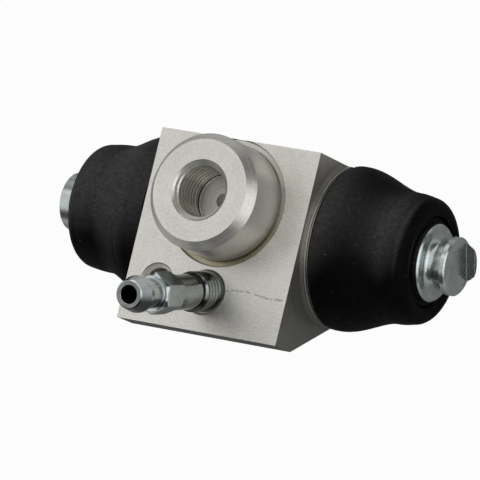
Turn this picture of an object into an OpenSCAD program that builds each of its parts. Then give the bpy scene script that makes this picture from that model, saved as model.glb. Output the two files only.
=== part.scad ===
// Wheel cylinder of a drum brake: a slice of extruded aluminium bar with a bore
// through it, two opposed pistons under rubber boots, and a leaning bleed screw.
// The origin is the centre of the spigot on the mounting face. +Z leaves that face
// along the spigot, +X runs along the bore, and the bleed screw leans towards -Y.

/* [Block] */
// Width of the block along the bore
block_w = 31.5; // [28:0.5:36]
// Distance from the spigot axis down to the lower edge of the mounting face
lower_edge = 22.65; // [21:0.05:26]
// Depth of the flat lower edge behind the mounting face
lower_flat = 5.6; // [3:0.1:8]
// Radius of the round back about the bore axis
back_r = 13.2; // [12.4:0.1:15]
// Radius of the turned land on each side face
land_r = 14.2; // [13.6:0.1:15]
// Height of the turned land above the side face
land_h = 0.8; // [0.4:0.1:1.5]

/* [Bore] */
// Diameter of the bore
bore_d = 19.05; // [18:0.05:20]
// Depth of the bore axis behind the mounting face
bore_depth = 15.8; // [15:0.1:18]
// Drop of the bore axis below the spigot axis
bore_drop = 2.1; // [1:0.1:3]
// Wall of each neck around the bore
neck_wall = 2.4; // [2:0.1:3]
// Length of each neck beyond the turned land
neck_len = 5.1; // [4.5:0.1:6]
// Depth of the groove around each neck that holds the boot
neck_groove = 0.95; // [0.6:0.05:1.2]
// Width of the groove around each neck
neck_groove_w = 1.8; // [1.2:0.1:2.2]

/* [Spigot and inlet] */
// Radius of the spigot
spigot_r = 10.2; // [9.6:0.1:11]
// Height of the spigot above the mounting face
spigot_h = 9.85; // [8:0.05:12]
// Radial width of the chamfer at the spigot's front
spigot_chamfer = 1.29; // [0.5:0.01:2]
// Axial length of that chamfer
spigot_chamfer_h = 1.6; // [0.5:0.1:2.5]
// Radial width of the groove around the spigot's foot
foot_groove_w = 0.97; // [0.5:0.01:1.5]
// Depth of the groove around the spigot's foot
foot_groove = 0.45; // [0.2:0.05:1]
// Radius of the inlet port at its thread's crests
inlet_r = 4.475; // [4:0.005:5]
// Length of the inlet port's wall, with its chamfer
inlet_depth = 8.7; // [7:0.1:10]
// Radial width of the chamfer at the inlet's mouth
inlet_chamfer = 0.875; // [0.4:0.005:1.2]
// Radius of the drilling from the inlet to the bore
feed_r = 1.25; // [0.8:0.05:2]

/* [Fixing hole] */
// Distance of the fixing hole to the left of the spigot axis
fixing_x = 9.74; // [8:0.01:11]
// Distance of the fixing hole below the spigot axis
fixing_y = 15.37; // [14.5:0.01:17]
// Radius of the fixing hole at its thread's crests
fixing_r = 2.5; // [2:0.05:3]
// Depth of the fixing hole's wall
fixing_depth = 12; // [8:0.5:14]
// Radial width of the chamfer at the fixing hole's mouth
fixing_chamfer = 0.8; // [0.3:0.1:1.2]

/* [Bleed screw] */
// Distance of the bleed screw below the spigot axis, on the mounting face
bleed_y = 15.6; // [14.6:0.1:17]
// Lean of the bleed screw away from the spigot
bleed_tilt = 13; // [11:0.5:15]
// Outside radius of the screw's thread
screw_r = 3.5; // [3:0.05:3.8]
// Radial clearance of the screw in its hole
screw_clear = 0.05; // [0.02:0.01:0.1]
// Depth of the threaded hole along the screw's axis
screw_hole = 10; // [8:0.1:11]
// Length of thread that stands out of the face
thread_out = 5.2; // [3:0.1:7]
// Length of the plain shank above the thread
shank_len = 6.7; // [4:0.1:8]
// Radius of the plain shank
shank_r = 3.05; // [2.6:0.05:3.1]
// Width of the hexagon across its flats
hex_af = 6.35; // [6.2:0.05:7.5]
// Length of the hexagon
hex_len = 6; // [4:0.1:8]
// Length of the hose nipple
nipple_len = 7.3; // [6:0.1:9]
// Radius of the nipple's neck
nipple_neck_r = 2.55; // [2.3:0.05:2.8]
// Radius of the nipple's barb
barb_r = 3.15; // [2.9:0.05:3.4]
// Radius of the nipple at its mouth
mouth_r = 2.5; // [2.2:0.05:2.8]
// Radius of the hole in the nipple
nipple_hole_r = 1.6; // [1.2:0.05:1.8]
// Radius of the passage through the screw's thread
screw_passage_r = 0.9; // [0.6:0.05:1.1]

/* [Pistons] */
// Radial clearance of each piston in the bore
piston_clear = 0.04; // [0.02:0.01:0.08]
// Distance from the middle of the bore to the right piston's inner face
piston_in = 11.3; // [10.8:0.1:12]
// Length of each piston's skirt
skirt_len = 9.1; // [8:0.1:9.3]
// How much further out the left piston stands than the right one
left_draw = 1.2; // [0:0.1:2]
// Radius of the piston's nose inside the boot
nose_r = 6.2; // [5.9:0.1:7]
// Radius of the groove that holds the boot's lip
lip_groove_r = 5.45; // [4.8:0.05:5.7]
// Radius of the flange in front of the boot's lip
flange_r = 6.71; // [6.4:0.01:7.2]
// Thickness of that flange
flange_t = 1.05; // [0.7:0.05:1.5]
// Radius of the stem between the flange and the head
stem_r = 4.2; // [3.6:0.1:4.5]
// Length of the stem
stem_len = 2.9; // [2.4:0.1:4]
// Radius of the head that meets the brake shoe
head_r = 5.07; // [4.8:0.01:5.6]
// Thickness of the right piston's head
head_t = 1.2; // [0.8:0.1:2]
// How much thicker the left piston's head is, towards its stem
left_head_more = 1; // [0:0.1:1.3]
// Radius of the lug on the head, at its foot
lug_r = 4.65; // [4.2:0.05:4.8]
// Radius of the lug at its top
lug_top_r = 4.05; // [3.8:0.05:4.6]
// Distance of the lug's flat side from the piston's axis
lug_flat = 3.15; // [2:0.05:3.4]
// Height of the lug above the head
lug_h = 1.6; // [0.6:0.1:2]
// Turn of the lug about the bore, from straight back towards +Y
lug_turn = 26.7; // [0:0.1:90]

/* [Boots] */
// Thickness of the boot's cuff over the neck
cuff_wall = 2.3; // [2:0.05:3]
// Wall of the boot's sleeve
boot_wall = 1.5; // [1.2:0.1:1.8]
// Length of the right boot
boot_len = 16.5; // [15.5:0.1:18]
// Length of the right boot's cuff before it narrows
cuff_len = 1.2; // [0.8:0.1:2]
// How much later the left boot narrows, as it is drawn out
left_cuff_more = 2.5; // [0:0.1:3]
// Length over which the right boot narrows to its waist
ease_len = 10.8; // [9:0.1:12]
// Radius of the boot's waist
waist_r = 11.35; // [11.2:0.05:11.8]
// Radius of the boot's outer end
boot_end_r = 11; // [10.6:0.1:11.4]
// Radius of the round rim at the outer end
rim_round = 2; // [1.8:0.1:2.3]
// Clearance around the boot where it is held
boot_clear = 0.05; // [0.02:0.01:0.1]
// Thickness of the lip that grips the piston
lip_t = 1.8; // [1.2:0.1:2.2]

/* [Seals and spring] */
// Length of each cup seal
cup_len = 4.8; // [4:0.1:5.5]
// Thickness of the cup seal's base
cup_base = 2.5; // [1.8:0.1:3]
// Radial clearance of the cup seals in the bore
cup_clear = 0.03; // [0.01:0.01:0.06]
// Radius of each expander's disc
expander_r = 6.8; // [5.5:0.1:7]
// Thickness of each expander's disc
expander_t = 0.8; // [0.5:0.1:1.2]
// Radius of the hub that centres the spring
hub_r = 3.4; // [2.5:0.1:3.6]
// Length of that hub
hub_len = 1.4; // [0.8:0.1:2]
// Diameter of the spring's wire
wire_d = 0.9; // [0.6:0.05:1]
// Mean radius of the spring's coils
coil_r = 4.2; // [4.1:0.05:5]
// Turns of the spring
coil_turns = 6; // [4:1:7]

/* [Hidden] */
$fn = 96;

aluminium = [0.72, 0.71, 0.69];
zinc = [0.74, 0.77, 0.78];
rubber = [0.07, 0.07, 0.075];
seal_rubber = [0.12, 0.11, 0.1];
spring_steel = [0.45, 0.46, 0.48];

// A cut runs this far past the surface that it opens
cut = 1;
// A piece that is built up reaches this far into what carries it
root = 0.5;
// Pieces that rest on each other inside the bore stand this far apart
seat_gap = 0.1;
// Half angle of a drill's point
drill_half = 59;

half_w = block_w / 2;
bore_r = bore_d / 2;
bore_y = -bore_drop;
bore_z = -bore_depth;
top_y = bore_y + back_r;
bottom_y = -lower_edge;

land_x = half_w + land_h;
neck_r = bore_r + neck_wall;
neck_end = land_x + neck_len;
neck_edge = 0.4;
groove_inset = 0.9;
groove_in = land_x + groove_inset;
groove_out = groove_in + neck_groove_w;
groove_r = neck_r - neck_groove;

// The flank touches the round back where a line from the lower edge meets it squarely
flank_from = [bottom_y, -lower_flat] - [bore_y, bore_z];
flank_angle = atan2(flank_from[1], flank_from[0]) + acos(back_r / norm(flank_from));
flank_touch = [bore_y, bore_z] + back_r * [cos(flank_angle), sin(flank_angle)];

// The groove around the spigot's foot has a flat floor, and its outer wall leans by this much
foot_groove_lean = 0.1;

screw_hole_r = screw_r + screw_clear;
seat_clear = 0.15;
// The chamfer at the screw's mouth is wider, and its centre lies further on the side it leans to
mouth_chamfer = 0.45;
mouth_shift = 0.2;
bleed_passage_r = 1.25;
// The bleed passage ends where its axis passes closest to the bore's axis
bleed_reach = bore_depth * cos(bleed_tilt) + (bleed_y - bore_drop) * sin(bleed_tilt);
hex_in = thread_out + shank_len;
hex_out = hex_in + hex_len;
screw_tip = hex_out + nipple_len;
// The screw's relief below its thread, and the run-out where the thread ends
relief_cut = 0.6;
relief_len = 2;
thread_run = 0.5;
// The nipple's barb, counted back from the mouth
barb_back = 3.2;
barb_t = 0.8;
barb_slope = 0.9;
mouth_edge = 0.2;
// The cones at the hexagon's ends start inside the shank and rise at this angle
hex_root = 0.05;
hex_cone = 50;
// The cross drilling stands this far from the hole's seat
cross_inset = 1.2;

boot_in = land_x + boot_clear;
boot_hold_r = neck_r + boot_clear;
cuff_r = boot_hold_r + cuff_wall;
cuff_round = 0.5;
cuff_end = boot_in + cuff_len;
waist_in = cuff_end + ease_len;
sleeve_steps = 24;
rim_steps = 14;
round_steps = 4;
// The rim turns this far round before it meets the lip
rim_wrap = 140;
rim_c = [boot_end_r - rim_round, boot_in + boot_len - rim_round];
lip_r = lip_groove_r + 2 * boot_clear;
lip_gap = 0.2;
lip_sunk = 0.55;
lip_out = boot_in + boot_len - lip_sunk;
lip_in = lip_out - lip_t;

skirt_r = bore_r - piston_clear;
skirt_out = piston_in + skirt_len;
skirt_edge = 0.4;
lip_groove_in = lip_in - lip_gap;
flange_in = lip_out + lip_gap;
flange_out = flange_in + flange_t;
rim_edge = 0.3;
stem_round = 1.4;
head_in = flange_out + stem_len;
head_out = head_in + head_t;
head_edge = 0.2;

cup_out = piston_in - seat_gap;
cup_in = cup_out - cup_len;
cup_floor = cup_out - cup_base;
// The cup's mouth is this much wider than the expander
cup_flare = 1.2;
cup_r = bore_r - cup_clear;
disc_out = cup_floor - seat_gap;
disc_in = disc_out - expander_t;
spring_right = disc_in - seat_gap;
spring_left = -spring_right - left_draw;

function arc(centre, r, from, to, steps = 10) =
    [for (i = [0 : steps]) let (a = from + (to - from) * i / steps) centre + r * [cos(a), sin(a)]];

function ease(u) = u <= 0 ? 0 : u >= 1 ? 1 : u * u * (3 - 2 * u);

// Radius of the boot's outside at x, for a boot that is drawn out by a length and has a longer cuff
function boot_r(x, draw, more) =
    x < waist_in
    ? cuff_r + (waist_r - cuff_r) * ease((x - cuff_end - more) / (ease_len - more))
    : waist_r + (boot_end_r - waist_r) * (x - waist_in) / (rim_c[1] + draw - waist_in);

// Puts a shape that is built about Z onto the bore's axis, pointing along +X
module on_bore() {
    translate([0, bore_y, bore_z]) rotate([0, 90, 0]) children();
}

// Puts a shape that is built about Z onto the bleed screw's axis, from the mounting face outwards
module on_bleed_axis() {
    translate([0, -bleed_y, 0]) rotate([bleed_tilt, 0, 0]) children();
}

// The left side is the right side's mirror image, drawn out a little further
module left_side(draw) {
    translate([-draw, 0, 0]) mirror([1, 0, 0]) children();
}

// A blind hole down from z = 0, with a drill's point and a chamfered mouth
module blind_hole(r, depth, chamfer) {
    point_h = r / tan(drill_half);
    translate([0, 0, -depth]) cylinder(r = r, h = depth + cut);
    translate([0, 0, -depth - point_h]) cylinder(r1 = 0, r2 = r, h = point_h);
    translate([0, 0, -chamfer]) cylinder(r1 = r, r2 = r + chamfer + cut, h = chamfer + cut);
}

// Section of the extruded bar: x is the row's Y and y is the row's Z
module bar_section() {
    translate([bore_y, bore_z]) circle(r = back_r);
    polygon([[top_y, 0], [top_y, bore_z], [bore_y, bore_z], flank_touch,
             [bottom_y, -lower_flat], [bottom_y, 0]]);
}

module bar(length) {
    rotate([90, 0, 90]) linear_extrude(height = length, center = true) bar_section();
}

// Turned end of the block: the neck and the groove that holds the boot
module neck() {
    on_bore() rotate_extrude()
        polygon([[0, 0], [neck_r, 0], [neck_r, groove_in], [groove_r, groove_in], [groove_r, groove_out],
                 [neck_r, groove_out], [neck_r, neck_end - neck_edge], [neck_r - neck_edge, neck_end],
                 [0, neck_end]]);
}

module spigot() {
    rotate_extrude()
        polygon([[0, -foot_groove - root], [spigot_r, -foot_groove - root],
                 [spigot_r, spigot_h - spigot_chamfer_h], [spigot_r - spigot_chamfer, spigot_h],
                 [0, spigot_h]]);
}

// Ring cutter that leaves the groove around the spigot's foot
module foot_groove_cutter() {
    groove_r_out = spigot_r + foot_groove_w;
    rotate_extrude()
        polygon([[spigot_r - root, cut], [spigot_r - root, -foot_groove],
                 [groove_r_out - foot_groove_lean, -foot_groove], [groove_r_out, 0], [groove_r_out, cut]]);
}

// The threaded hole for the bleed screw, its conical seat, and the passage into the bore
module bleed_hole() {
    seat_h = screw_hole_r - bleed_passage_r;
    on_bleed_axis() {
        translate([0, 0, -screw_hole]) cylinder(r = screw_hole_r, h = screw_hole + 2 * cut);
        translate([0, 0, -screw_hole - seat_h])
            cylinder(r1 = bleed_passage_r, r2 = screw_hole_r, h = seat_h);
        translate([0, 0, -bleed_reach]) cylinder(r = bleed_passage_r, h = bleed_reach - screw_hole);
    }
    translate([0, -bleed_y - mouth_shift, -mouth_chamfer])
        cylinder(r1 = screw_hole_r, r2 = screw_hole_r + mouth_chamfer + cut, h = mouth_chamfer + cut);
}

module cylinder_body() {
    color(aluminium) difference() {
        union() {
            difference() {
                bar(block_w);
                foot_groove_cutter();
            }
            intersection() {
                bar(2 * land_x);
                on_bore() cylinder(r = land_r, h = 2 * land_x, center = true);
            }
            neck();
            mirror([1, 0, 0]) neck();
            spigot();
        }
        on_bore() cylinder(r = bore_r, h = 2 * (neck_end + cut), center = true);
        translate([0, 0, spigot_h]) blind_hole(inlet_r, inlet_depth, inlet_chamfer);
        translate([0, 0, bore_z]) cylinder(r = feed_r, h = bore_depth + spigot_h - inlet_depth);
        translate([-fixing_x, -fixing_y, 0]) blind_hole(fixing_r, fixing_depth, fixing_chamfer);
        bleed_hole();
    }
}

// Outside of the bleed screw, from its conical tip in the block to the nipple's mouth
module screw_turning() {
    relief_r = screw_r - relief_cut;
    relief_in = -screw_hole + seat_clear - (screw_hole_r - seat_clear - relief_r);
    tip_r = bleed_passage_r + seat_clear;
    relief_out = relief_in + relief_len;
    barb_in = screw_tip - barb_back;
    barb_out = barb_in + barb_t;
    rotate_extrude()
        polygon([[0, relief_in - (relief_r - tip_r)], [tip_r, relief_in - (relief_r - tip_r)],
                 [relief_r, relief_in], [relief_r, relief_out], [screw_r, relief_out + relief_cut],
                 [screw_r, thread_out - thread_run], [shank_r, thread_out], [shank_r, hex_out],
                 [nipple_neck_r, hex_out], [nipple_neck_r, barb_in - barb_slope], [barb_r, barb_in],
                 [barb_r, barb_out], [mouth_r, screw_tip - mouth_edge], [mouth_r - mouth_edge, screw_tip],
                 [0, screw_tip]]);
}

// Hexagon whose two ends are turned to cones
module screw_hexagon() {
    corner_r = hex_af / sqrt(3);
    turned_r = shank_r - hex_root;
    cone_h = (corner_r - turned_r) * tan(hex_cone);
    intersection() {
        translate([0, 0, hex_in]) rotate(30) cylinder(r = corner_r, h = hex_len, $fn = 6);
        translate([0, 0, hex_in]) rotate_extrude()
            polygon([[0, 0], [turned_r, 0], [corner_r, cone_h], [corner_r, hex_len - cone_h],
                     [turned_r, hex_len], [0, hex_len]]);
    }
}

module bleed_screw() {
    cross_hole = cross_inset - screw_hole;
    color(zinc) on_bleed_axis() difference() {
        union() {
            screw_turning();
            screw_hexagon();
        }
        translate([0, 0, hex_in]) cylinder(r = nipple_hole_r, h = screw_tip);
        translate([0, 0, cross_hole]) cylinder(r = screw_passage_r, h = hex_in - cross_hole + cut);
        translate([0, 0, cross_hole]) rotate([0, 90, 0])
            cylinder(r = screw_passage_r, h = 2 * (screw_r + cut), center = true);
    }
}

module piston(head_more) {
    head_back = head_in - head_more;
    fillet = min(stem_round, head_back - flange_out);
    color(zinc) on_bore() {
        rotate_extrude() polygon(concat(
            [[0, piston_in], [skirt_r - skirt_edge, piston_in], [skirt_r, piston_in + skirt_edge],
             [skirt_r, skirt_out - skirt_edge], [skirt_r - skirt_edge, skirt_out], [nose_r, skirt_out],
             [nose_r, lip_groove_in], [lip_groove_r, lip_groove_in], [lip_groove_r, flange_in],
             [flange_r, flange_in], [flange_r, flange_out - rim_edge], [flange_r - rim_edge, flange_out]],
            arc([stem_r + fillet, flange_out + fillet], fillet, 270, 180),
            [[stem_r, head_back], [head_r - head_edge, head_back], [head_r, head_back + head_edge],
             [head_r, head_out - head_edge], [head_r - head_edge, head_out], [0, head_out]]));
        translate([0, 0, head_out]) rotate(lug_turn) intersection() {
            rotate_extrude()
                polygon([[0, -root], [lug_r, -root], [lug_r, 0], [lug_top_r, lug_h], [0, lug_h]]);
            translate([lug_flat, -lug_r, -root]) cube([lug_r, 2 * lug_r, lug_h + root]);
        }
    }
}

// Rubber boot: a cuff on the neck, a sleeve that eases to a waist, a rolled rim and a lip
module boot(draw, more) {
    rim = rim_c + [0, draw];
    sleeve = [for (i = [0 : sleeve_steps]) cuff_end + (rim[1] - cuff_end) * i / sleeve_steps];
    inner_rim_r = rim_round - boot_wall;
    hollow = [for (x = sleeve) if (x > neck_end + lip_gap) [boot_r(x, draw, more) - boot_wall, x]];
    color(rubber) on_bore() rotate_extrude() polygon(concat(
        arc([cuff_r - cuff_round, boot_in + cuff_round], cuff_round, 270, 360, round_steps),
        [for (x = sleeve) [boot_r(x, draw, more), x]],
        arc(rim, rim_round, 0, rim_wrap, rim_steps),
        [[lip_r + lip_t, lip_out + draw], [lip_r, lip_out + draw], [lip_r, lip_in + draw],
         [rim[0] - 2 * inner_rim_r, lip_in + draw]],
        arc(rim, inner_rim_r, 90, 0, round_steps),
        [for (i = [len(hollow) - 1 : -1 : 0]) hollow[i]],
        [[boot_hold_r, neck_end + lip_gap], [boot_hold_r, groove_out - boot_clear],
         [groove_r + boot_clear, groove_out - boot_clear], [groove_r + boot_clear, groove_in + boot_clear],
         [boot_hold_r, groove_in + boot_clear], [boot_hold_r, boot_in]]));
}

// Cup seal whose lip opens towards the middle of the bore
module cup_seal() {
    lip_edge = 0.4;
    color(seal_rubber) on_bore() rotate_extrude()
        polygon([[0, cup_out], [cup_r - lip_edge, cup_out], [cup_r, cup_out - lip_edge],
                 [cup_r, cup_in + lip_edge], [cup_r - lip_edge, cup_in], [expander_r + cup_flare, cup_in],
                 [expander_r + seat_gap, cup_floor], [0, cup_floor]]);
}

// Disc that keeps the cup's lip spread, with a hub for the spring
module cup_expander() {
    color(spring_steel) on_bore() {
        translate([0, 0, disc_in]) cylinder(r = expander_r, h = expander_t);
        translate([0, 0, disc_in - hub_len]) cylinder(r = hub_r, h = hub_len + expander_t / 2);
    }
}

// Coil spring swept along its helix, between the two expanders
module return_spring() {
    sides = 8;
    turn_rings = 20;
    rings = coil_turns * turn_rings;
    first = spring_left + wire_d / 2;
    last = spring_right - wire_d / 2;
    points = [for (i = [0 : rings], s = [0 : sides - 1])
        let (a = 360 * i / turn_rings, b = 360 * s / sides, r = coil_r + wire_d / 2 * cos(b))
        [first + (last - first) * ease(i / rings) + wire_d / 2 * sin(b), r * cos(a), r * sin(a)]];
    walls = [for (i = [0 : rings - 1], s = [0 : sides - 1])
        let (t = (s + 1) % sides)
        [i * sides + s, i * sides + t, (i + 1) * sides + t, (i + 1) * sides + s]];
    start = [[for (s = [sides - 1 : -1 : 0]) s]];
    end = [[for (s = [0 : sides - 1]) rings * sides + s]];
    color(spring_steel) translate([0, bore_y, bore_z]) polyhedron(points, concat(walls, start, end));
}

module left_piston() { left_side(left_draw) piston(left_head_more); }
module right_piston() { piston(0); }
module left_boot() { left_side(0) boot(left_draw, left_cuff_more); }
module right_boot() { boot(0, 0); }
module left_cup_seal() { left_side(left_draw) cup_seal(); }
module right_cup_seal() { cup_seal(); }
module left_cup_expander() { left_side(left_draw) cup_expander(); }
module right_cup_expander() { cup_expander(); }

cylinder_body();
bleed_screw();
left_piston();
right_piston();
left_boot();
right_boot();
left_cup_seal();
right_cup_seal();
left_cup_expander();
right_cup_expander();
return_spring();
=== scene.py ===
# %% [markdown]
# # A drum brake's wheel cylinder
# A wheel cylinder sits on the backing plate of a drum brake. Fluid comes in through the threaded
# port in its spigot, pushes two pistons apart along the bore, and they press the brake shoes
# outwards. A rubber boot keeps the dirt out at each end, and a hollow screw lets the air out.
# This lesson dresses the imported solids. The solids set every size, so each piece here starts from
# them or repeats their numbers.

# %% Load the frame
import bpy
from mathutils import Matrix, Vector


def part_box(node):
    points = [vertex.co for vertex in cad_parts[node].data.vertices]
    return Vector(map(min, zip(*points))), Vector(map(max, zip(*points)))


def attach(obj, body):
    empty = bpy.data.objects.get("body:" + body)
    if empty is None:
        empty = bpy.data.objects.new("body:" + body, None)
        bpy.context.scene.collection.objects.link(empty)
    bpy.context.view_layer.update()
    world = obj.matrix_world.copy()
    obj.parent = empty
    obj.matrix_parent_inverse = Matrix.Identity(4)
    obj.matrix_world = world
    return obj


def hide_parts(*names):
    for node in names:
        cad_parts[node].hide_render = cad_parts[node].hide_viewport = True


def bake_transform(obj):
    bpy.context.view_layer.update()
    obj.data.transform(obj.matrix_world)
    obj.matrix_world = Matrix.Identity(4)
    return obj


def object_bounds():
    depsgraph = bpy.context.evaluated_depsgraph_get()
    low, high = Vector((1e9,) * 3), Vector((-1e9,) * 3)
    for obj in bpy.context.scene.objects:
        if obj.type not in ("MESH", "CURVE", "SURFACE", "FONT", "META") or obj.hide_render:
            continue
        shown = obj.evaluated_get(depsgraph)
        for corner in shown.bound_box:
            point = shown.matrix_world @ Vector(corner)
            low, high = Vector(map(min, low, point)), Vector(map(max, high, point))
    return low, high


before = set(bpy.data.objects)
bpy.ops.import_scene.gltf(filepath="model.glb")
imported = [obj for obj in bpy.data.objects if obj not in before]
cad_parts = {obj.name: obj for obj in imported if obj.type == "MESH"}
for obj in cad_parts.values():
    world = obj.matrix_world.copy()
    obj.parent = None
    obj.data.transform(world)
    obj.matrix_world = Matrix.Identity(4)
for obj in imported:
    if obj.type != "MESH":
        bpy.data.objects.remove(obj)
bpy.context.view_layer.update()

import math
from contextlib import contextmanager
from types import SimpleNamespace

import bmesh
import bpy
import numpy as np
from mathutils import Matrix, Vector

scene = bpy.context.scene
MM = 0.001

# %% [markdown]
# ## Where things are
# Three axes place everything. The spigot's axis is the row's Z, the bore runs along X, and the
# bleed screw leans away from the spigot by 13 degrees. They are written once here, in
# millimetres, with the sizes that more than one later cell measures from.

# %% Axes and shared sizes
BORE_Y, BORE_Z = -2.1, -15.8
BLEED_Y, BLEED_TILT = -15.6, math.radians(13)
FIXING_X, FIXING_Y = -9.74, -15.37

# Radii of the spigot and of the groove around its foot
SPIGOT_R, FOOT_GROOVE_R = 10.2, 11.17
# Radii at the roots of the threads in the inlet port and in the fixing hole
PORT_ROOT_R, FIXING_ROOT_R = 5.0, 3.0
# Heights between which a ring is cut out below the inlet's thread
UNDERCUT_LOW, UNDERCUT_HIGH = 1.5, 1.95
# Distances of a piston's head and of its lug's top from the bore's middle, and the lug's turn
HEAD_X, LUG_TOP_X, LUG_TURN = 37.9, 39.5, math.radians(26.7)
# How much farther out the left piston stands
LEFT_DRAW = 1.2

on_bleed_axis = Matrix.Translation((0, BLEED_Y * MM, 0)) @ Matrix.Rotation(BLEED_TILT, 4, "X")
bleed_direction = on_bleed_axis.to_3x3() @ Vector((0, 0, 1))
print("the bleed screw points along", [round(v, 4) for v in bleed_direction])

# %% [markdown]
# ## The camera
# A product photograph like this one is taken from far away with a long lens, which keeps the
# block's edges almost parallel. A camera could be aimed with a constraint, but here its three
# directions are known, so they are written straight into its matrix as columns: right, up, back,
# and the place.

# %% Camera
camera = bpy.data.objects.new("camera", bpy.data.cameras.new("camera"))
scene.collection.objects.link(camera)
right = Vector((0.858781, 0.230758, -0.457433))
up = Vector((-0.148314, 0.966570, 0.209155))
back = Vector((0.490406, -0.111775, 0.864297))
stand = Vector((0.46827, -0.11168, 0.81763))
camera.matrix_world = Matrix((
    (right.x, up.x, back.x, stand.x),
    (right.y, up.y, back.y, stand.y),
    (right.z, up.z, back.z, stand.z),
    (0, 0, 0, 1)))
camera.data.sensor_width = 36
camera.data.lens = 417.56
camera.data.clip_start, camera.data.clip_end = 0.05, 20
scene.camera = camera
print("the camera stands", round(stand.length, 3), "m from the spigot")

# %% [markdown]
# ## Shader maths as Python
# A finish is mostly arithmetic on coordinates: how far a point lies from an axis, whether it is
# on the face, how strongly a mark shows. Wiring each Math node by hand hides that. This small
# class wraps a socket and overloads the operators, so `1 - mask` or `radius * 3` adds the nodes by
# itself. Every other node comes from the single method `node`, which sets a node's options first
# and then its sockets.


# %% Sockets that can be added and multiplied
class Value:
    """An output socket that takes part in expressions."""

    def __init__(self, finish, socket):
        self.finish, self.socket = finish, socket

    def math(self, operation, *others):
        terms = dict(enumerate((self, *others)))
        return self.finish.node("ShaderNodeMath", {"operation": operation}, terms)

    def __add__(self, other):
        return self.math("ADD", other)

    def __sub__(self, other):
        return self.math("SUBTRACT", other)

    def __rsub__(self, other):
        return (self * -1) + other

    def __mul__(self, other):
        return self.math("MULTIPLY", other)

    def __truediv__(self, other):
        return self.math("DIVIDE", other)

    def __pow__(self, other):
        return self.math("POWER", other)

    __radd__, __rmul__ = __add__, __mul__

    def size(self):
        return self.math("ABSOLUTE")

    def steps(self, low, high):
        """0 below low, 1 above high, and smooth between; low may be the larger one."""
        first, last = (1.0, 0.0) if low > high else (0.0, 1.0)
        ends = {0: self, 1: min(low, high), 2: max(low, high), 3: first, 4: last}
        return self.finish.node("ShaderNodeMapRange", {"interpolation_type": "SMOOTHSTEP"}, ends)

    def band(self, low, high, fade_in, fade_out=None):
        """1 from low to high, and smooth to 0 over a width before and a width after them."""
        after = fade_in if fade_out is None else fade_out
        return self.steps(low - fade_in, low) * self.steps(high + after, high)


# %% [markdown]
# ## A finish
# One class holds a material and its Principled shader. It hands out the coordinates in
# millimetres and the surface's direction, both in the object's own space, so that the pattern
# stays on the piece when it moves. Numbers that are the same all over go straight onto the
# shader's sockets.


# %% The finish class
class Finish:
    """A procedural material on Object coordinates, in millimetres."""

    def __init__(self, name, **constants):
        self.material = bpy.data.materials.new(name)
        self.material.use_nodes = True
        self.nodes = self.material.node_tree.nodes
        self.links = self.material.node_tree.links
        self.shader = self.nodes["Principled BSDF"]
        for socket, value in constants.items():
            self.shader.inputs[socket.replace("_", " ")].default_value = value
        place = self.nodes.new("ShaderNodeTexCoord")
        self.place = self.node("ShaderNodeVectorMath", {"operation": "SCALE"},
                               {0: Value(self, place.outputs["Object"]), "Scale": 1 / MM})
        self.x, self.y, self.z = self.split(self.place)
        self.nx, self.ny, self.nz = self.split(Value(self, place.outputs["Normal"]))

    def node(self, kind, settings=None, sockets=None, out=0):
        made = self.nodes.new(kind)
        for name, value in (settings or {}).items():
            if name == "stops":
                self.set_stops(made.color_ramp, value)
            else:
                setattr(made, name, value)
        for key, value in (sockets or {}).items():
            if isinstance(value, Value):
                self.links.new(value.socket, made.inputs[key])
            else:
                made.inputs[key].default_value = value
        return Value(self, made.outputs[out])

    def set_stops(self, ramp, stops):
        """Sets a ramp's stops from pairs of a position and a grey."""
        while len(ramp.elements) < len(stops):
            ramp.elements.new(0.5)
        for element, (position, grey) in zip(ramp.elements, stops):
            element.position = position
            element.color = (grey, grey, grey, 1)

    def split(self, vector):
        parts = self.nodes.new("ShaderNodeSeparateXYZ")
        self.links.new(vector.socket, parts.inputs[0])
        return [Value(self, s) for s in parts.outputs]

    def vector(self, x, y, z):
        return self.node("ShaderNodeCombineXYZ", {}, {0: x, 1: y, 2: z})

    def radius(self, a, b):
        return (a * a + b * b) ** 0.5

    def noise(self, where, scale, detail=2.0, roughness=0.5):
        """Noise about 0.5, with scale in waves per millimetre."""
        sockets = {"Vector": where, "Scale": scale, "Detail": detail, "Roughness": roughness}
        return self.node("ShaderNodeTexNoise", {"normalize": True}, sockets)

    def mix(self, mask, first, second):
        """Colours: the first where the mask is 0, the second where it is 1."""
        return self.node("ShaderNodeMix", {"data_type": "RGBA", "clamp_factor": True},
                         {0: mask, 6: first, 7: second}, out=2)

    def coats(self, shade, *layers):
        """Lays colours over a shade one after the other, each where its mask says."""
        for mask, coat in layers:
            shade = self.mix(mask, shade, coat)
        return shade

    def bump(self, height, distance, strength=1.0):
        """A bump whose height is in millimetres."""
        return self.node("ShaderNodeBump", {},
                         {"Height": height, "Distance": distance * MM, "Strength": strength})

    def wear(self, **inputs):
        """Feeds what changes over the surface to the shader."""
        for socket, value in inputs.items():
            self.links.new(value.socket, self.shader.inputs[socket.replace("_", " ")])
        return self.material


def colour(red, green, blue):
    """A colour as a screen shows it, turned to the linear values that a shader wants."""
    linear = [c / 12.92 if c <= 0.04045 else ((c + 0.055) / 1.055) ** 2.4
              for c in (red, green, blue)]
    return (*linear, 1)


print("the finish class is ready")

# %% [markdown]
# ## Machined aluminium
# The block is sliced from an extruded bar and machined. Its mounting face shows fine straight
# cutter marks and one scratch, the spigot and the side faces show turned rings, and the bar's own
# skin shows drawing lines along X. One material does all of these: masks made from the place and
# direction of the surface choose which set of marks a point gets. Image textures could do it too,
# but would need unwrapping and would blur.


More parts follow.
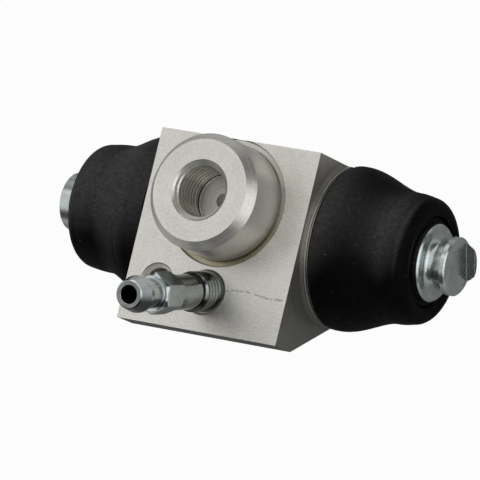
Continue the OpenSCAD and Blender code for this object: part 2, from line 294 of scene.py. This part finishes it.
# %% Aluminium: where a point lies and how it was cut
def block_places(f):
    """Distances from the block's axes, and a mask for each kind of face."""
    level = f.nz.steps(0.85, 0.95)
    above = f.z.steps(0.05, 0.15)
    side = f.nx.size().steps(0.8, 0.95)
    return SimpleNamespace(
        out=f.x.size(), spigot_r=f.radius(f.x, f.y), bore_r=f.radius(f.y - BORE_Y, f.z - BORE_Z),
        fixing_r=f.radius(f.x - FIXING_X, f.y - FIXING_Y), bleed_r=f.radius(f.x, f.y - BLEED_Y),
        spigot=above, side=side, face=level * (1 - above) * f.z.steps(-0.2, -0.1),
        skin=(1 - above) * (1 - level) * (1 - side))


def tool_marks(f, on):
    """Straight on the face, rings on the spigot and the sides, lines along X on the skin."""
    straight = f.noise(f.vector(f.x * 0.12, f.y, f.z), 7.0, 4.0, 0.7)
    rings = f.noise(f.vector(on.spigot_r, f.z, 0.0), 6.0, 3.0, 0.6)
    sawn = f.noise(f.vector(on.bore_r, f.x * 0.2, 0.0), 4.0, 3.0, 0.6)
    drawn = f.noise(f.vector(f.x * 0.02, f.y, f.z), 3.0, 4.0, 0.7)
    return straight * on.face + rings * on.spigot + sawn * on.side + drawn * on.skin


def face_scratch(f, on):
    """A long fine scratch across the lower part of the face, broken in places."""
    start_x, length, low_y, rise = 4.0, 11.8, -15.75, 2.2
    stops = [(0.0, 0.36), (0.21, 0.545), (0.345, 0.53), (0.517, 0.43), (0.683, 0.315),
             (0.854, 0.34), (1.0, 0.42)]
    path = f.node("ShaderNodeValToRGB", {"stops": stops}, {0: (f.x - start_x) / length})
    wander = f.noise(f.vector(f.x, 0.0, 0.0), 1.6, 3.0) * 0.5 - 0.25
    broken = f.noise(f.vector(f.x, 3.0, 0.0), 1.4, 2.0).steps(0.4, 0.55)
    gap = (f.y - (path * rise + low_y) - wander).size()
    return gap.steps(0.2, 0.04) * broken * on.face * f.x.band(3.9, 15.4, 0.4, 0.35)


print("marks for the face, the spigot, the sides and the skin are ready")

# %% [markdown]
# ## Oil, and painted shade and light
# Cutting oil stays in the groove around the spigot's foot, and painted shade darkens both edges
# of that groove. Painted light makes the walls of the port and the fixing hole and the mouths of
# the holes brighter. Painted shade darkens the flat that faces -Y, the wall of the ring around each
# neck and the undercut in the port, and a painted highlight draws a bright line around the middle
# of each ring. Each of these is a mask again, limited in height so that it stays off the other
# faces.


# %% Aluminium: oil, painted shade and painted light
def groove_oil_and_shade(f, on, cloud, grain):
    """Oil in the groove around the spigot's foot, and painted shade along both edges of the groove.
    """
    at_foot = f.z.band(-0.7, 0.0, 0.2, 0.3)
    groove = on.spigot_r.band(SPIGOT_R + 0.05, FOOT_GROOVE_R - 0.07, 0.15, 0.2)
    rim = on.spigot_r.band(FOOT_GROOVE_R - 0.05, FOOT_GROOVE_R + 0.05, 0.12, 0.14)
    foot = on.spigot_r.band(SPIGOT_R - 0.02, SPIGOT_R + 0.1, 0.06, 0.12)
    oil = at_foot * groove * f.y.steps(5.0, -9.0) * (cloud * 0.5 + 0.55)
    # The second mask is painted shade along the groove's rim and the spigot's foot
    return oil, at_foot * (rim + foot * 0.45) * (grain * 0.6 + 0.5)


def holes_painted_light(f, on):
    """Painted light on the walls and the mouths of the holes, which makes them brighter."""
    port = on.spigot_r.steps(PORT_ROOT_R + 0.3, PORT_ROOT_R + 0.2) * f.z.steps(-1.0, 0.0)
    fixing = on.fixing_r.steps(FIXING_ROOT_R + 0.15, FIXING_ROOT_R + 0.05) * f.z.steps(-12.5, -12.0)
    mouths = on.bleed_r.steps(4.3, 4.15) + on.fixing_r.steps(3.5, 3.4) * 0.5
    return port * 0.15 + fixing * 0.7 + mouths * f.z.steps(-1.2, -0.9)


def shade_and_ring_highlight(f, on):
    """Painted shade on the flat that faces -Y, on the wall of each neck's ring and in the port's
    undercut, and a painted highlight around the middle of each ring.
    """
    ring_low, ring_high, ring_middle = 15.8, 16.4, 16.05
    under = f.ny.steps(-0.96, -0.99) * f.z.steps(-5.8, -5.6) * 0.7
    ring = on.bore_r.steps(13.8, 14.0)
    from_middle = (on.out - ring_middle).size()
    wall = from_middle.steps(0.13, 0.2) * on.out.band(ring_low, ring_high, 0.04, 0.06) * ring
    in_port = on.spigot_r.steps(PORT_ROOT_R + 0.2, PORT_ROOT_R + 0.1)
    undercut = f.z.band(UNDERCUT_LOW, UNDERCUT_HIGH, 0.1) * in_port
    painted_dark = under * on.skin + wall * (1 - on.side) * 0.8 + undercut
    return painted_dark, from_middle.steps(0.2, 0.13) * ring


def machined_aluminium():
    f = Finish("machined_aluminium", Metallic=1.0, Specular_IOR_Level=0.5)
    on = block_places(f)
    cloud = f.noise(f.place, 0.12, 3.0, 0.6)
    grain = f.noise(f.place, 2.5, 3.0, 0.7)
    marks, scratch = tool_marks(f, on), face_scratch(f, on)
    oil, groove_shade = groove_oil_and_shade(f, on, cloud, grain)
    # Painted light in the holes: their colour is made brighter
    painted_light = holes_painted_light(f, on)
    # Painted shade on the lower flat, the rings' walls and the undercut, and a painted highlight on
    # each ring
    painted_dark, ring_highlight = shade_and_ring_highlight(f, on)
    # Painted shade: the side faces are darker towards -Y, and the bar's skin is darker
    side_and_skin_shade = on.side * (f.y.steps(-4.0, -18.0) * 0.4 + 0.42) + on.skin * 0.8

    tone = (marks - 0.5) * (1.8 - on.side * 1.3) + (cloud - 0.5) * 0.8 + (grain - 0.5) * 1.3 + 0.5
    metal = f.mix(tone + painted_light, colour(0.78, 0.77, 0.745), colour(0.95, 0.94, 0.915))
    shade = f.coats(
        metal,
        (side_and_skin_shade * (1 - painted_light) * (1 - ring_highlight), colour(0.50, 0.495, 0.48)),
        (painted_dark * (1 - painted_light), colour(0.1, 0.1, 0.115)),
        (oil * 0.85, colour(0.53, 0.49, 0.30)),
        (groove_shade * 0.85, colour(0.22, 0.21, 0.17)),
        (scratch * 0.42, colour(0.24, 0.25, 0.27)))
    uneven = (marks - 0.5) * 0.25 + (cloud - 0.5) * 0.15 + (grain - 0.5) * 0.15
    rough = 0.40 + uneven + on.side * 0.06 + painted_light * 0.2
    height = marks + grain * 0.35 - scratch * 1.5
    return f.wear(Base_Color=shade, Roughness=rough, Normal=f.bump(height, 0.02, 0.9))


aluminium = machined_aluminium()
print("aluminium has", len(aluminium.node_tree.nodes), "nodes")

# %% [markdown]
# ## Zinc plate
# The pistons and the bleed screw are turned steel with a bright zinc coat, bluish and a little
# cloudy. Turned pieces get rings about their own axis, so the axis is an argument: the same finish
# is made once for the bore and once for the leaning screw, with a Mapping node that stands the
# screw upright. The screw is handled with spanners and hoses, so it also gets grime, together with
# painted shade that darkens its lower side. A painted highlight keeps the end cone of its hexagon
# and the upper side of its nipple bright.


# %% Zinc
def zinc_plate(name, centre, turn, grime_and_shade_strength):
    """Zinc about an axis; the more grime and painted shade it gets, the darker and the smoother."""
    f = Finish(name, Metallic=1.0)
    stood = f.node("ShaderNodeMapping", {"vector_type": "TEXTURE"},
                   {"Vector": f.place, "Location": centre, "Rotation": turn})
    u, v, along = f.split(stood)
    radius = f.radius(u, v)
    rings = f.noise(f.vector(radius, along, 0.0), 5.0, 3.0, 0.6)
    cloud = f.noise(f.place, 0.45, 3.0, 0.65)
    specks = f.noise(f.place, 5.0, 2.0, 0.6).steps(0.62, 0.75)
    tone = rings * 0.3 + cloud * 0.7
    zinc = f.mix(tone.steps(0.3, 0.7), colour(0.71, 0.745, 0.74), colour(0.83, 0.86, 0.855))

    cone_from, cone_to = 17.1, 18.2
    # Painted highlight on the hexagon's end cone and the nipple's upper side
    painted_highlight = along.band(cone_from, cone_to, 0.1) + along.steps(19.0, 20.0) * f.ny.steps(-0.35, 0.3)
    # Grime, with painted shade that darkens the side facing -Y
    grime_and_shade = (cloud + f.ny.steps(0.1, -0.7) * 0.7) * (1 - painted_highlight) * grime_and_shade_strength

    # Painted shade: the flat side of a piston's lug is made darker
    to_flat = f.nz * math.cos(LUG_TURN) - f.ny * math.sin(LUG_TURN)
    on_lug = f.x.size().steps(HEAD_X, HEAD_X + 0.1) * radius.steps(4.9, 4.8)
    lug_shade = on_lug * to_flat.steps(0.8, 0.95) * 0.5

    shade = f.coats(zinc, (grime_and_shade + lug_shade, colour(0.33, 0.34, 0.33)),
                    (specks * 0.12, colour(0.42, 0.45, 0.45)))
    rough = 0.21 - grime_and_shade_strength * 0.1 + cloud * 0.06 + rings * 0.06 + specks * 0.08
    return f.wear(Base_Color=shade, Roughness=rough, Normal=f.bump(rings, 0.003, 0.5))


zinc_pistons = zinc_plate("zinc_pistons", (0, BORE_Y, BORE_Z), (0, math.pi / 2, 0), 0.0)
zinc_screw = zinc_plate("zinc_screw", (0, BLEED_Y, 0), (BLEED_TILT, 0, 0), 1.05)
print("zinc finishes:", zinc_pistons.name, zinc_screw.name)

# %% [markdown]
# ## Rubber and spring steel
# The boots are black moulded rubber, matt, with a slight bloom. The sides that face up and to the
# left, towards the key lamp, are paler: partly dust, partly painted light. There is a brownish tint
# in places and a few pale specks. The cup seals inside are the same kind of rubber without the
# dust. The spring and the expanders are plain steel.


# %% Rubber and steel
def boot_rubber():
    f = Finish("boot_rubber", Specular_IOR_Level=0.05)
    bloom = f.noise(f.place, 0.25, 4.0, 0.6)
    fine = f.noise(f.place, 1.6, 5.0, 0.75)
    tint = f.noise(f.place, 0.6, 2.0, 0.5).steps(0.5, 0.75)
    specks = f.noise(f.place, 1.9, 1.0, 0.4).steps(0.76, 0.80)
    # Paler towards up and -X, where the key lamp stands: dust and painted light
    dust_and_light = (f.nz * 0.8 + f.ny * 0.32 - f.nx * 0.45).steps(0.4, 1.0)
    black = f.mix(bloom.steps(0.3, 0.75), colour(0.02, 0.02, 0.021), colour(0.05, 0.049, 0.05))
    shade = f.coats(
        black,
        (dust_and_light * ((fine - 0.5) * 2.2 + 0.85), colour(0.285, 0.278, 0.282)),
        (tint * dust_and_light * 0.5, colour(0.19, 0.15, 0.135)),
        (specks * 0.4, colour(0.5, 0.52, 0.54)))
    rough = 0.44 + bloom * 0.16 + fine * 0.06
    height = fine * 0.6 + bloom
    return f.wear(Base_Color=shade, Roughness=rough, Normal=f.bump(height, 0.05, 0.5))


def cup_rubber():
    f = Finish("cup_rubber", Specular_IOR_Level=0.4)
    bloom = f.noise(f.place, 0.5, 3.0, 0.6)
    black = f.mix(bloom, colour(0.1, 0.095, 0.09), colour(0.17, 0.16, 0.15))
    return f.wear(Base_Color=black, Roughness=0.4 + bloom * 0.2, Normal=f.bump(bloom, 0.03, 0.5))


def bright_steel():
    f = Finish("bright_steel", Metallic=1.0)
    drawn = f.noise(f.place, 2.0, 3.0, 0.6)
    grey = f.mix(drawn, colour(0.5, 0.5, 0.51), colour(0.7, 0.71, 0.72))
    return f.wear(Base_Color=grey, Roughness=0.25 + drawn * 0.15, Normal=f.bump(drawn, 0.01, 0.5))


rubber, seal_rubber, steel = boot_rubber(), cup_rubber(), bright_steel()
print("rubber and steel:", rubber.name, seal_rubber.name, steel.name)

# %% [markdown]
# ## Copies of the solids
# The CAD nodes already have the right shapes, but their edges are perfectly sharp, and a real
# machined edge is always broken a little and catches the light. A node's own mesh may not be
# changed, so each is copied, its loose triangles are merged, and flat triangles are joined into
# larger faces. Then a Bevel breaks the edges with one narrow flat each, and the shading stays
# sharp along it, so large flats stay flat.


# %% Copy, merge and bevel
def keep_object(name, mesh):
    obj = bpy.data.objects.new(name, mesh)
    scene.collection.objects.link(obj)
    return obj


def made_plain(obj):
    """Turns the object with its modifiers into a plain mesh."""
    bpy.context.view_layer.update()
    graph = bpy.context.evaluated_depsgraph_get()
    mesh = bpy.data.meshes.new_from_object(obj.evaluated_get(graph))
    obj.modifiers.clear()
    obj.data = mesh
    return obj


@contextmanager
def edited(mesh):
    """A mesh's points, edges and faces, ready to be changed and written back at the end."""
    shell = bmesh.new()
    shell.from_mesh(mesh)
    yield shell
    shell.to_mesh(mesh)
    shell.free()


def open_edges(shell):
    return sum(not edge.is_manifold for edge in shell.edges)


def merged_copy(node, name):
    obj = keep_object(name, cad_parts[node].data.copy())
    for stored in ("custom_normal", "sharp_edge", "sharp_face"):
        if stored in obj.data.attributes:
            obj.data.attributes.remove(obj.data.attributes[stored])
    with edited(obj.data) as shell:
        bmesh.ops.remove_doubles(shell, verts=shell.verts, dist=0.0005 * MM)
        bmesh.ops.dissolve_limit(shell, angle_limit=math.radians(0.4), verts=shell.verts,
                                 edges=shell.edges)
        print(name, "has", len(shell.faces), "faces and", open_edges(shell), "open edges")
    return obj


def broken_edges(obj, width, above=32):
    """Breaks the edges at which two faces turn by more than an angle."""
    bevel = obj.modifiers.new("bevel", "BEVEL")
    bevel.width, bevel.segments = width * MM, 1
    bevel.limit_method, bevel.angle_limit = "ANGLE", math.radians(above)
    return made_plain(obj)


def shaded(obj, material, sharp=15):
    """Gives the object one material, smooth except where faces turn by more than an angle."""
    obj.data.materials.clear()
    obj.data.materials.append(material)
    for polygon in obj.data.polygons:
        polygon.material_index, polygon.use_smooth = 0, True
    obj.data.set_sharp_from_angle(angle=math.radians(sharp))
    return obj


block = broken_edges(merged_copy("cylinder_body", "block"), 0.13)
screw = broken_edges(merged_copy("bleed_screw", "hollow_screw"), 0.07)

# %% [markdown]
# ## The lug on each piston
# Each piston ends in a head with a lug beside its middle, which keeps the brake shoe's web in
# place and stops the piston turning. It is pressed, not turned, so its edges are much rounder than
# the others, and a small fillet runs along the foot of its flat side. Both are bevels on edges
# picked by where they lie.


# %% Rounded lugs
def rounded_lug(obj, foot, top):
    """Rounds the edges of a lug that stands between two distances from the bore's middle."""
    near, widest, sharp, chord = 0.01, 4.76, 0.5, 4.0

    def edges_of_lug(shell, reach):
        """The lug's sharp edges whose farther end lies at least as far out as reach."""
        for edge in shell.edges:
            out = [abs(v.co.x) / MM for v in edge.verts]
            wide = max(math.hypot(v.co.y / MM - BORE_Y, v.co.z / MM - BORE_Z) for v in edge.verts)
            placed = min(out) > foot - near and max(out) > reach - near and wide < widest
            if placed and edge.calc_face_angle(0) > sharp:
                yield edge

    def bevel(shell, edges, width, segments):
        bmesh.ops.bevel(shell, geom=edges, offset=width * MM, segments=segments, profile=0.5,
                        affect="EDGES")

    with edited(obj.data) as shell:
        bevel(shell, list(edges_of_lug(shell, top)), 0.3, 4)
        chords = [e for e in edges_of_lug(shell, foot) if e.calc_length() > chord * MM]
        bevel(shell, chords, 0.15, 2)
        print(obj.name, "has", len(chords), "fillet along its lug")
    return obj


pistons = {}
for side, draw in (("left", LEFT_DRAW), ("right", 0.0)):
    copy = merged_copy(side + "_piston", side + "_turned_piston")
    pistons[side] = broken_edges(rounded_lug(copy, HEAD_X + draw, LUG_TOP_X + draw), 0.07, 50)

# %% [markdown]
# ## Threads
# Three threads can be seen: in the inlet port, in the fixing hole, and on the bleed screw. A thread
# is one groove that follows a helix, so it suits Geometry Nodes: a spiral curve carries a trapezoid
# along it. The result is used as a cutter. That gives the true shape, flat crests where the solid's
# wall was and a groove that runs out through the chamfer, which a bump in the material would not.


# %% The groove's node tree
def thread_tree():
    tree = bpy.data.node_groups.new("thread_groove", "GeometryNodeTree")
    for name in ("Radius", "Pitch", "Turns", "Depth", "Facing"):
        tree.interface.new_socket(name, in_out="INPUT", socket_type="NodeSocketFloat")
    tree.interface.new_socket("Steps per turn", in_out="INPUT", socket_type="NodeSocketInt")
    tree.interface.new_socket("Material", in_out="INPUT", socket_type="NodeSocketMaterial")
    tree.interface.new_socket("Geometry", in_out="OUTPUT", socket_type="NodeSocketGeometry")

    def put(value, socket):
        if isinstance(value, bpy.types.NodeSocket):
            tree.links.new(value, socket)
        else:
            socket.default_value = value

    def add(kind, settings=None, **sockets):
        made = tree.nodes.new(kind)
        for key, value in (settings or {}).items():
            setattr(made, key, value)
        for key, value in sockets.items():
            put(value, made.inputs[key.replace("_", " ")])
        return made.outputs[0]

    def times(a, b):
        made = tree.nodes.new("ShaderNodeMath")
        made.operation = "MULTIPLY"
        put(a, made.inputs[0])
        put(b, made.inputs[1])
        return made.outputs[0]

    given = tree.nodes.new("NodeGroupInput").outputs
    helix = add("GeometryNodeCurveSpiral", Resolution=given["Steps per turn"],
                Rotations=given["Turns"], Start_Radius=given["Radius"], End_Radius=given["Radius"],
                Height=times(given["Pitch"], given["Turns"]))
    upright = add("GeometryNodeSetCurveNormal", {"mode": "Z_UP"}, Curve=helix)
    section = add("GeometryNodeCurvePrimitiveQuadrilateral", {"mode": "TRAPEZOID"},
                  Height=given["Depth"], Bottom_Width=times(given["Pitch"], 0.86),
                  Top_Width=times(given["Pitch"], 0.22), Offset=0.0)
    turn = add("ShaderNodeCombineXYZ", X=0.0, Y=0.0, Z=times(given["Facing"], -math.pi / 2))
    turned = add("GeometryNodeTransform", Geometry=section, Rotation=turn)
    swept = add("GeometryNodeCurveToMesh", Curve=upright, Profile_Curve=turned, Fill_Caps=True)
    real = add("GeometryNodeRealizeInstances", Geometry=swept)
    coated = add("GeometryNodeSetMaterial", Geometry=real, Material=given["Material"])
    tree.links.new(coated, tree.nodes.new("NodeGroupOutput").inputs[0])
    return tree


thread_groove = thread_tree()
thread_inputs = [s for s in thread_groove.interface.items_tree if s.in_out == "INPUT"]
print("the thread's inputs:", [s.name for s in thread_inputs])

# %% [markdown]
# ## Cutting the threads
# A thread in a hole has its roots outside its crests, and a thread on a screw has them inside, so
# one input turns the trapezoid round. Each cutter passes a little beyond the crest, because a cut
# that only touches a surface leaves slivers. All three threads have a pitch of one millimetre.


# %% Cutters
PITCH, STEPS_PER_TURN, PAST_CREST = 1.0, 48, 0.05


def thread_cutter(name, crest, root, low, high, place, material):
    """A helical groove between two radii, from low to high along its axis, all in millimetres."""
    facing = 1.0 if root > crest else -1.0
    past = crest - facing * PAST_CREST
    carrier = keep_object(name, bpy.data.meshes.new(name))
    groove = carrier.modifiers.new("groove", "NODES")
    groove.node_group = thread_groove
    sizes = {"Radius": (past + root) / 2 * MM, "Pitch": PITCH * MM, "Turns": (high - low) / PITCH,
             "Depth": abs(root - past) * MM, "Facing": facing, "Steps per turn": STEPS_PER_TURN,
             "Material": material}
    for item in thread_inputs:
        groove[item.identifier] = sizes[item.name]
    made_plain(carrier)
    carrier.data.transform(place @ Matrix.Translation((0, 0, low * MM)))
    return carrier


def cut_away(obj, cutter):
    boolean = obj.modifiers.new("cut", "BOOLEAN")
    boolean.operation, boolean.solver, boolean.object = "DIFFERENCE", "EXACT", cutter
    before = len(obj.data.polygons)
    made_plain(obj)
    bpy.data.objects.remove(cutter)
    print(obj.name, "went from", before, "to", len(obj.data.polygons), "faces")


on_spigot_axis = Matrix.Identity(4)
on_fixing_axis = Matrix.Translation((FIXING_X * MM, FIXING_Y * MM, 0))
cut_away(block, thread_cutter("inlet_thread", crest=4.475, root=PORT_ROOT_R, low=1.9, high=9.55,
                              place=on_spigot_axis, material=aluminium))
cut_away(block, thread_cutter("fixing_thread", crest=2.5, root=FIXING_ROOT_R, low=-11.2, high=0.35,
                              place=on_fixing_axis, material=aluminium))
cut_away(screw, thread_cutter("screw_thread", crest=3.5, root=2.9, low=-2.6, high=6.3,
                              place=on_bleed_axis, material=zinc_screw))

# %% [markdown]
# ## The undercut in the port
# Below the inlet's thread a narrow ring is turned out of the wall, so that the tap has somewhere to
# end. Seen from the mouth it is a dark line between the thread and the smooth seat for the pipe. It
# is a ring with a square section, cut away like the threads. With that the metal pieces have their
# shapes, and get their finishes. The pistons' normals are weighted by the size of the faces, so
# that the lug's flat side stays flat in the light.


# %% Undercut and metal finishes
def turned_solid(name, outline, steps=96):
    """A ring about Z from points (radius, height) in millimetres, in order round its section."""
    angles = np.linspace(0, 2 * math.pi, steps, endpoint=False)
    points = np.array(outline, float) * MM
    rows = [(r * math.cos(a), r * math.sin(a), h) for a in angles for r, h in points]
    count = len(points)

    def index(turn, point):
        return turn % steps * count + point % count

    faces = [[index(i, j), index(i + 1, j), index(i + 1, j + 1), index(i, j + 1)]
             for i in range(steps) for j in range(count)]
    mesh = bpy.data.meshes.new(name)
    mesh.from_pydata(rows, [], faces)
    with edited(mesh) as shell:
        bmesh.ops.remove_doubles(shell, verts=shell.verts, dist=1e-4 * MM)
        bmesh.ops.recalc_face_normals(shell, faces=shell.faces)
    return keep_object(name, mesh)


UNDERCUT_R = 4.2, 4.95
cut_away(block, turned_solid("undercut", [
    (UNDERCUT_R[0], UNDERCUT_LOW), (UNDERCUT_R[1], UNDERCUT_LOW),
    (UNDERCUT_R[1], UNDERCUT_HIGH), (UNDERCUT_R[0], UNDERCUT_HIGH)]))
shaded(block, aluminium)
shaded(screw, zinc_screw)
for piston in pistons.values():
    even = shaded(piston, zinc_pistons, 24).modifiers.new("even", "WEIGHTED_NORMAL")
    even.keep_sharp = True
    made_plain(piston)
print("block:", len(block.data.polygons), "faces; screw:", len(screw.data.polygons), "faces")

# %% [markdown]
# ## The rubber boots
# A boot is moulded rubber: a thick cuff grips the neck of the block, a sleeve eases in to a waist,
# and the end is rolled to a rim around a lip that sits in the piston's groove. It is round about
# the bore, so it is turned from one section, inside and outside together. A cloth simulation would
# gain nothing, because the rubber is thick and stands by itself. Rounded corners make it soft, and
# the left one, which is drawn out, narrows later and has a shallow crease.


# %% Boot section
def arc(centre_r, centre_x, radius, start, end, steps):
    angles = np.radians(np.linspace(start, end, steps + 1))
    return [(centre_r + radius * math.cos(a), centre_x + radius * math.sin(a)) for a in angles]


def sleeve(cuff_out, cuff_r, rim_x, crease_x):
    """The outside from the cuff to the rim, with a shallow crease at a distance."""
    waist_x, waist_r, end_r = 28.6, 11.35, 11.0
    crease_depth, crease_width = 0.08, 0.25
    for x in np.linspace(cuff_out, rim_x, 72):
        if x < waist_x:
            share = (x - cuff_out) / (waist_x - cuff_out)
            r = cuff_r + (waist_r - cuff_r) * share * share * (3 - 2 * share)
        else:
            r = waist_r + (end_r - waist_r) * ((x - waist_x) / (rim_x - waist_x)) ** 2
        yield r - crease_depth * math.exp(-((x - crease_x) / crease_width) ** 2), x


def boot_section(draw, later, crease_x):
    """Points (radius, distance from the bore's middle) round the rubber of a boot that is drawn
    out by a length and narrows later by another."""
    wall, cuff_r, cuff_in, cuff_corner = 1.5, 14.275, 16.6, 0.5
    neck_r, neck_groove_r, neck_end = 11.975, 11.025, 21.65
    groove_in, groove_out = 17.5, 19.2
    rim, rim_r, rim_x = 2.0, 9.0, 31.1 + draw
    lip_x = 32.55 + draw

    cuff = arc(cuff_r - cuff_corner, cuff_in + cuff_corner, cuff_corner, 270, 360, 5)
    outside = list(sleeve(17.8 + later, cuff_r, rim_x, crease_x))
    rolled = arc(rim_r, rim_x, rim, 6, 121, 20)
    lip = [(r, lip_x - inset) for r, inset in (
        (8.0, 0.35), (7.85, 0.28), (7.7, 0.07), (7.5, 0.0), (5.75, 0.0), (5.6, 0.06),
        (5.55, 0.2), (5.55, 1.6), (5.75, 1.8), (8.2, 1.8))]
    under_rim = arc(rim_r, rim_x, rim - wall, 90, 0, 6)
    inside = [(r - wall, x) for r, x in outside[::-2] if x > neck_end + 0.3]
    hold = [(neck_r, neck_end + 0.2), (neck_r, groove_out), (neck_groove_r, groove_out),
            (neck_groove_r, groove_in), (neck_r, groove_in), (neck_r, cuff_in)]
    return cuff + outside + rolled + lip + under_rim + inside + hold


def rubber_boot(name, side, draw, later, crease_x):
    boot = turned_solid(name, boot_section(draw, later, crease_x), 128)
    along_bore = Matrix(((0, 0, side, 0), (0, 1, 0, BORE_Y * MM), (1, 0, 0, BORE_Z * MM),
                         (0, 0, 0, 1)))
    boot.data.transform(along_bore)
    with edited(boot.data) as shell:
        bmesh.ops.recalc_face_normals(shell, faces=shell.faces)
    return shaded(boot, rubber, 50)


boots = {"left": rubber_boot("left_rubber_boot", -1, LEFT_DRAW, 2.5, 22.6),
         "right": rubber_boot("right_rubber_boot", 1, 0.0, 0.0, 0.0)}
print("boots:", {side: len(b.data.polygons) for side, b in boots.items()}, "faces")

# %% [markdown]
# ## The return spring
# A coil spring keeps the expanders apart inside the bore, and gets shorter when a piston is pushed
# in. One stiff piece would run into the pistons then, so the coil is cut at its middle and each cut
# is closed with a face.


# %% Two halves of the spring
def spring_half(side, sign, middle):
    half = merged_copy("return_spring", side + "_spring_half")
    with edited(half.data) as shell:
        whole = shell.verts[:] + shell.edges[:] + shell.faces[:]
        cut = bmesh.ops.bisect_plane(shell, geom=whole, plane_co=middle, plane_no=(sign, 0, 0),
                                     clear_inner=True)
        rim = [e for e in cut["geom_cut"] if isinstance(e, bmesh.types.BMEdge)]
        bmesh.ops.edgenet_fill(shell, edges=rim)
        print(half.name, "has", open_edges(shell), "open edges")
    return shaded(half, steel, 40)


spring_low, spring_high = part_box("return_spring")
spring_middle = (spring_low + spring_high) / 2
springs = {"left": spring_half("left", -1, spring_middle),
           "right": spring_half("right", 1, spring_middle)}
print("the spring's middle is at", round(spring_middle.x / MM, 2), "mm and its length is",
      round((spring_high.x - spring_low.x) / MM, 2), "mm")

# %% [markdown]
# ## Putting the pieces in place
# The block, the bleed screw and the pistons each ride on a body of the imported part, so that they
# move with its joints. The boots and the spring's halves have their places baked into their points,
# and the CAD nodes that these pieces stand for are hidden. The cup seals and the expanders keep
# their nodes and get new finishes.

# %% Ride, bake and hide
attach(block, "housing")
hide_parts("cylinder_body")
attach(screw, "bleed_screw")
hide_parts("bleed_screw")
for side, sign in (("left", -1), ("right", 1)):
    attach(pistons[side], side + "_piston")
    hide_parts(side + "_piston")
    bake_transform(boots[side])
    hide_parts(side + "_boot")
    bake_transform(springs[side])
    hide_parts("return_spring")

inner = {"left_cup_seal": seal_rubber, "right_cup_seal": seal_rubber,
         "left_cup_expander": steel, "right_cup_expander": steel}
for node, material in inner.items():
    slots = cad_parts[node].data.materials
    slots.clear()
    slots.append(material)

# %% [markdown]
# ## The floor
# The part lies on a plain pale floor. The camera sees most of it as pure white, while the rest of
# its colour keeps the part's shadow. Metal mirrors the floor, so what it mirrors near the part is
# left grey and dark, and gets lighter farther away, as on a real table with the part's own shade.

# %% Floor
floor_mesh = bpy.data.meshes.new("floor")
floor_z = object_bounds()[0].z - 0.2 * MM
corners = ((-3, -3), (3, -3), (3, 3), (-3, 3))
floor_mesh.from_pydata([(x, y, floor_z) for x, y in corners], [], [(0, 1, 2, 3)])
floor = keep_object("floor", floor_mesh)
pale = Finish("pale_floor", Base_Color=(0.38, 0.38, 0.38, 1), Roughness=0.9)
ray = pale.nodes.new("ShaderNodeLightPath").outputs
seen = Value(pale, ray["Is Camera Ray"]) * 0.97
away = pale.radius(pale.x, pale.y).steps(50, 140) * 0.3 + 0.03
mirrored = (Value(pale, ray["Is Glossy Ray"]) + Value(pale, ray["Is Transmission Ray"])) * away
white = pale.node("ShaderNodeEmission", {}, {"Color": (1, 1, 1, 1), "Strength": 1.0})
lit = Value(pale, pale.shader.outputs[0])
surface = pale.node("ShaderNodeMixShader", {}, {0: seen + mirrored, 1: lit, 2: white})
pale.links.new(surface.socket, pale.nodes["Material Output"].inputs["Surface"])
floor_mesh.materials.append(pale.material)
print("the floor lies at", round(floor_z / MM, 2), "mm")

# %% [markdown]
# ## Light
# Four large soft lamps stand around the part, as in a small studio. The key lamp and the overhead
# one are where the mounting face and the spigot's end mirror them towards the camera. A lamp behind
# draws the upper edges, and a card on the right lights one side of the spigot's chamfer. The
# block's right face mirrors only the floor and carries painted shade too, so it stays dark, which
# makes the form easy to read.


# %% Lamps and world
def soft_lamp(name, direction, distance, size, radiance, aim=(0.0, 0.0, -0.01)):
    """A lamp of a size (width, height) in metres that looks as bright as the radiance, where 1
    is white."""
    lamp = bpy.data.objects.new(name, bpy.data.lights.new(name, "AREA"))
    lamp.data.shape, (lamp.data.size, lamp.data.size_y) = "RECTANGLE", size
    lamp.data.energy = radiance * math.pi * size[0] * size[1]
    scene.collection.objects.link(lamp)
    lamp.location = Vector(aim) + Vector(direction).normalized() * distance
    lamp.rotation_mode = "QUATERNION"
    lamp.rotation_quaternion = Vector(direction).to_track_quat("Z", "Y")
    return lamp


lamps = [soft_lamp("key", (-0.73, -0.1, 0.62), 1.2, (1.6, 1.1), 0.84),
         soft_lamp("rear", (-0.25, 0.85, 0.45), 1.5, (0.9, 0.9), 1.0),
         soft_lamp("card", (0.9, -0.03, 0.38), 1.0, (1.15, 0.65), 1.2),
         soft_lamp("overhead", (0.25, 0.16, 0.95), 1.3, (2.4, 1.85), 0.78)]
world = bpy.data.worlds.new("studio")
world.use_nodes = True
sky = world.node_tree.nodes["Background"].inputs
sky["Color"].default_value = (1, 1, 1, 1)
sky["Strength"].default_value = 0.05
scene.world = world
scene.view_settings.view_transform = "Standard"
print("lamps:", [lamp.name for lamp in lamps])
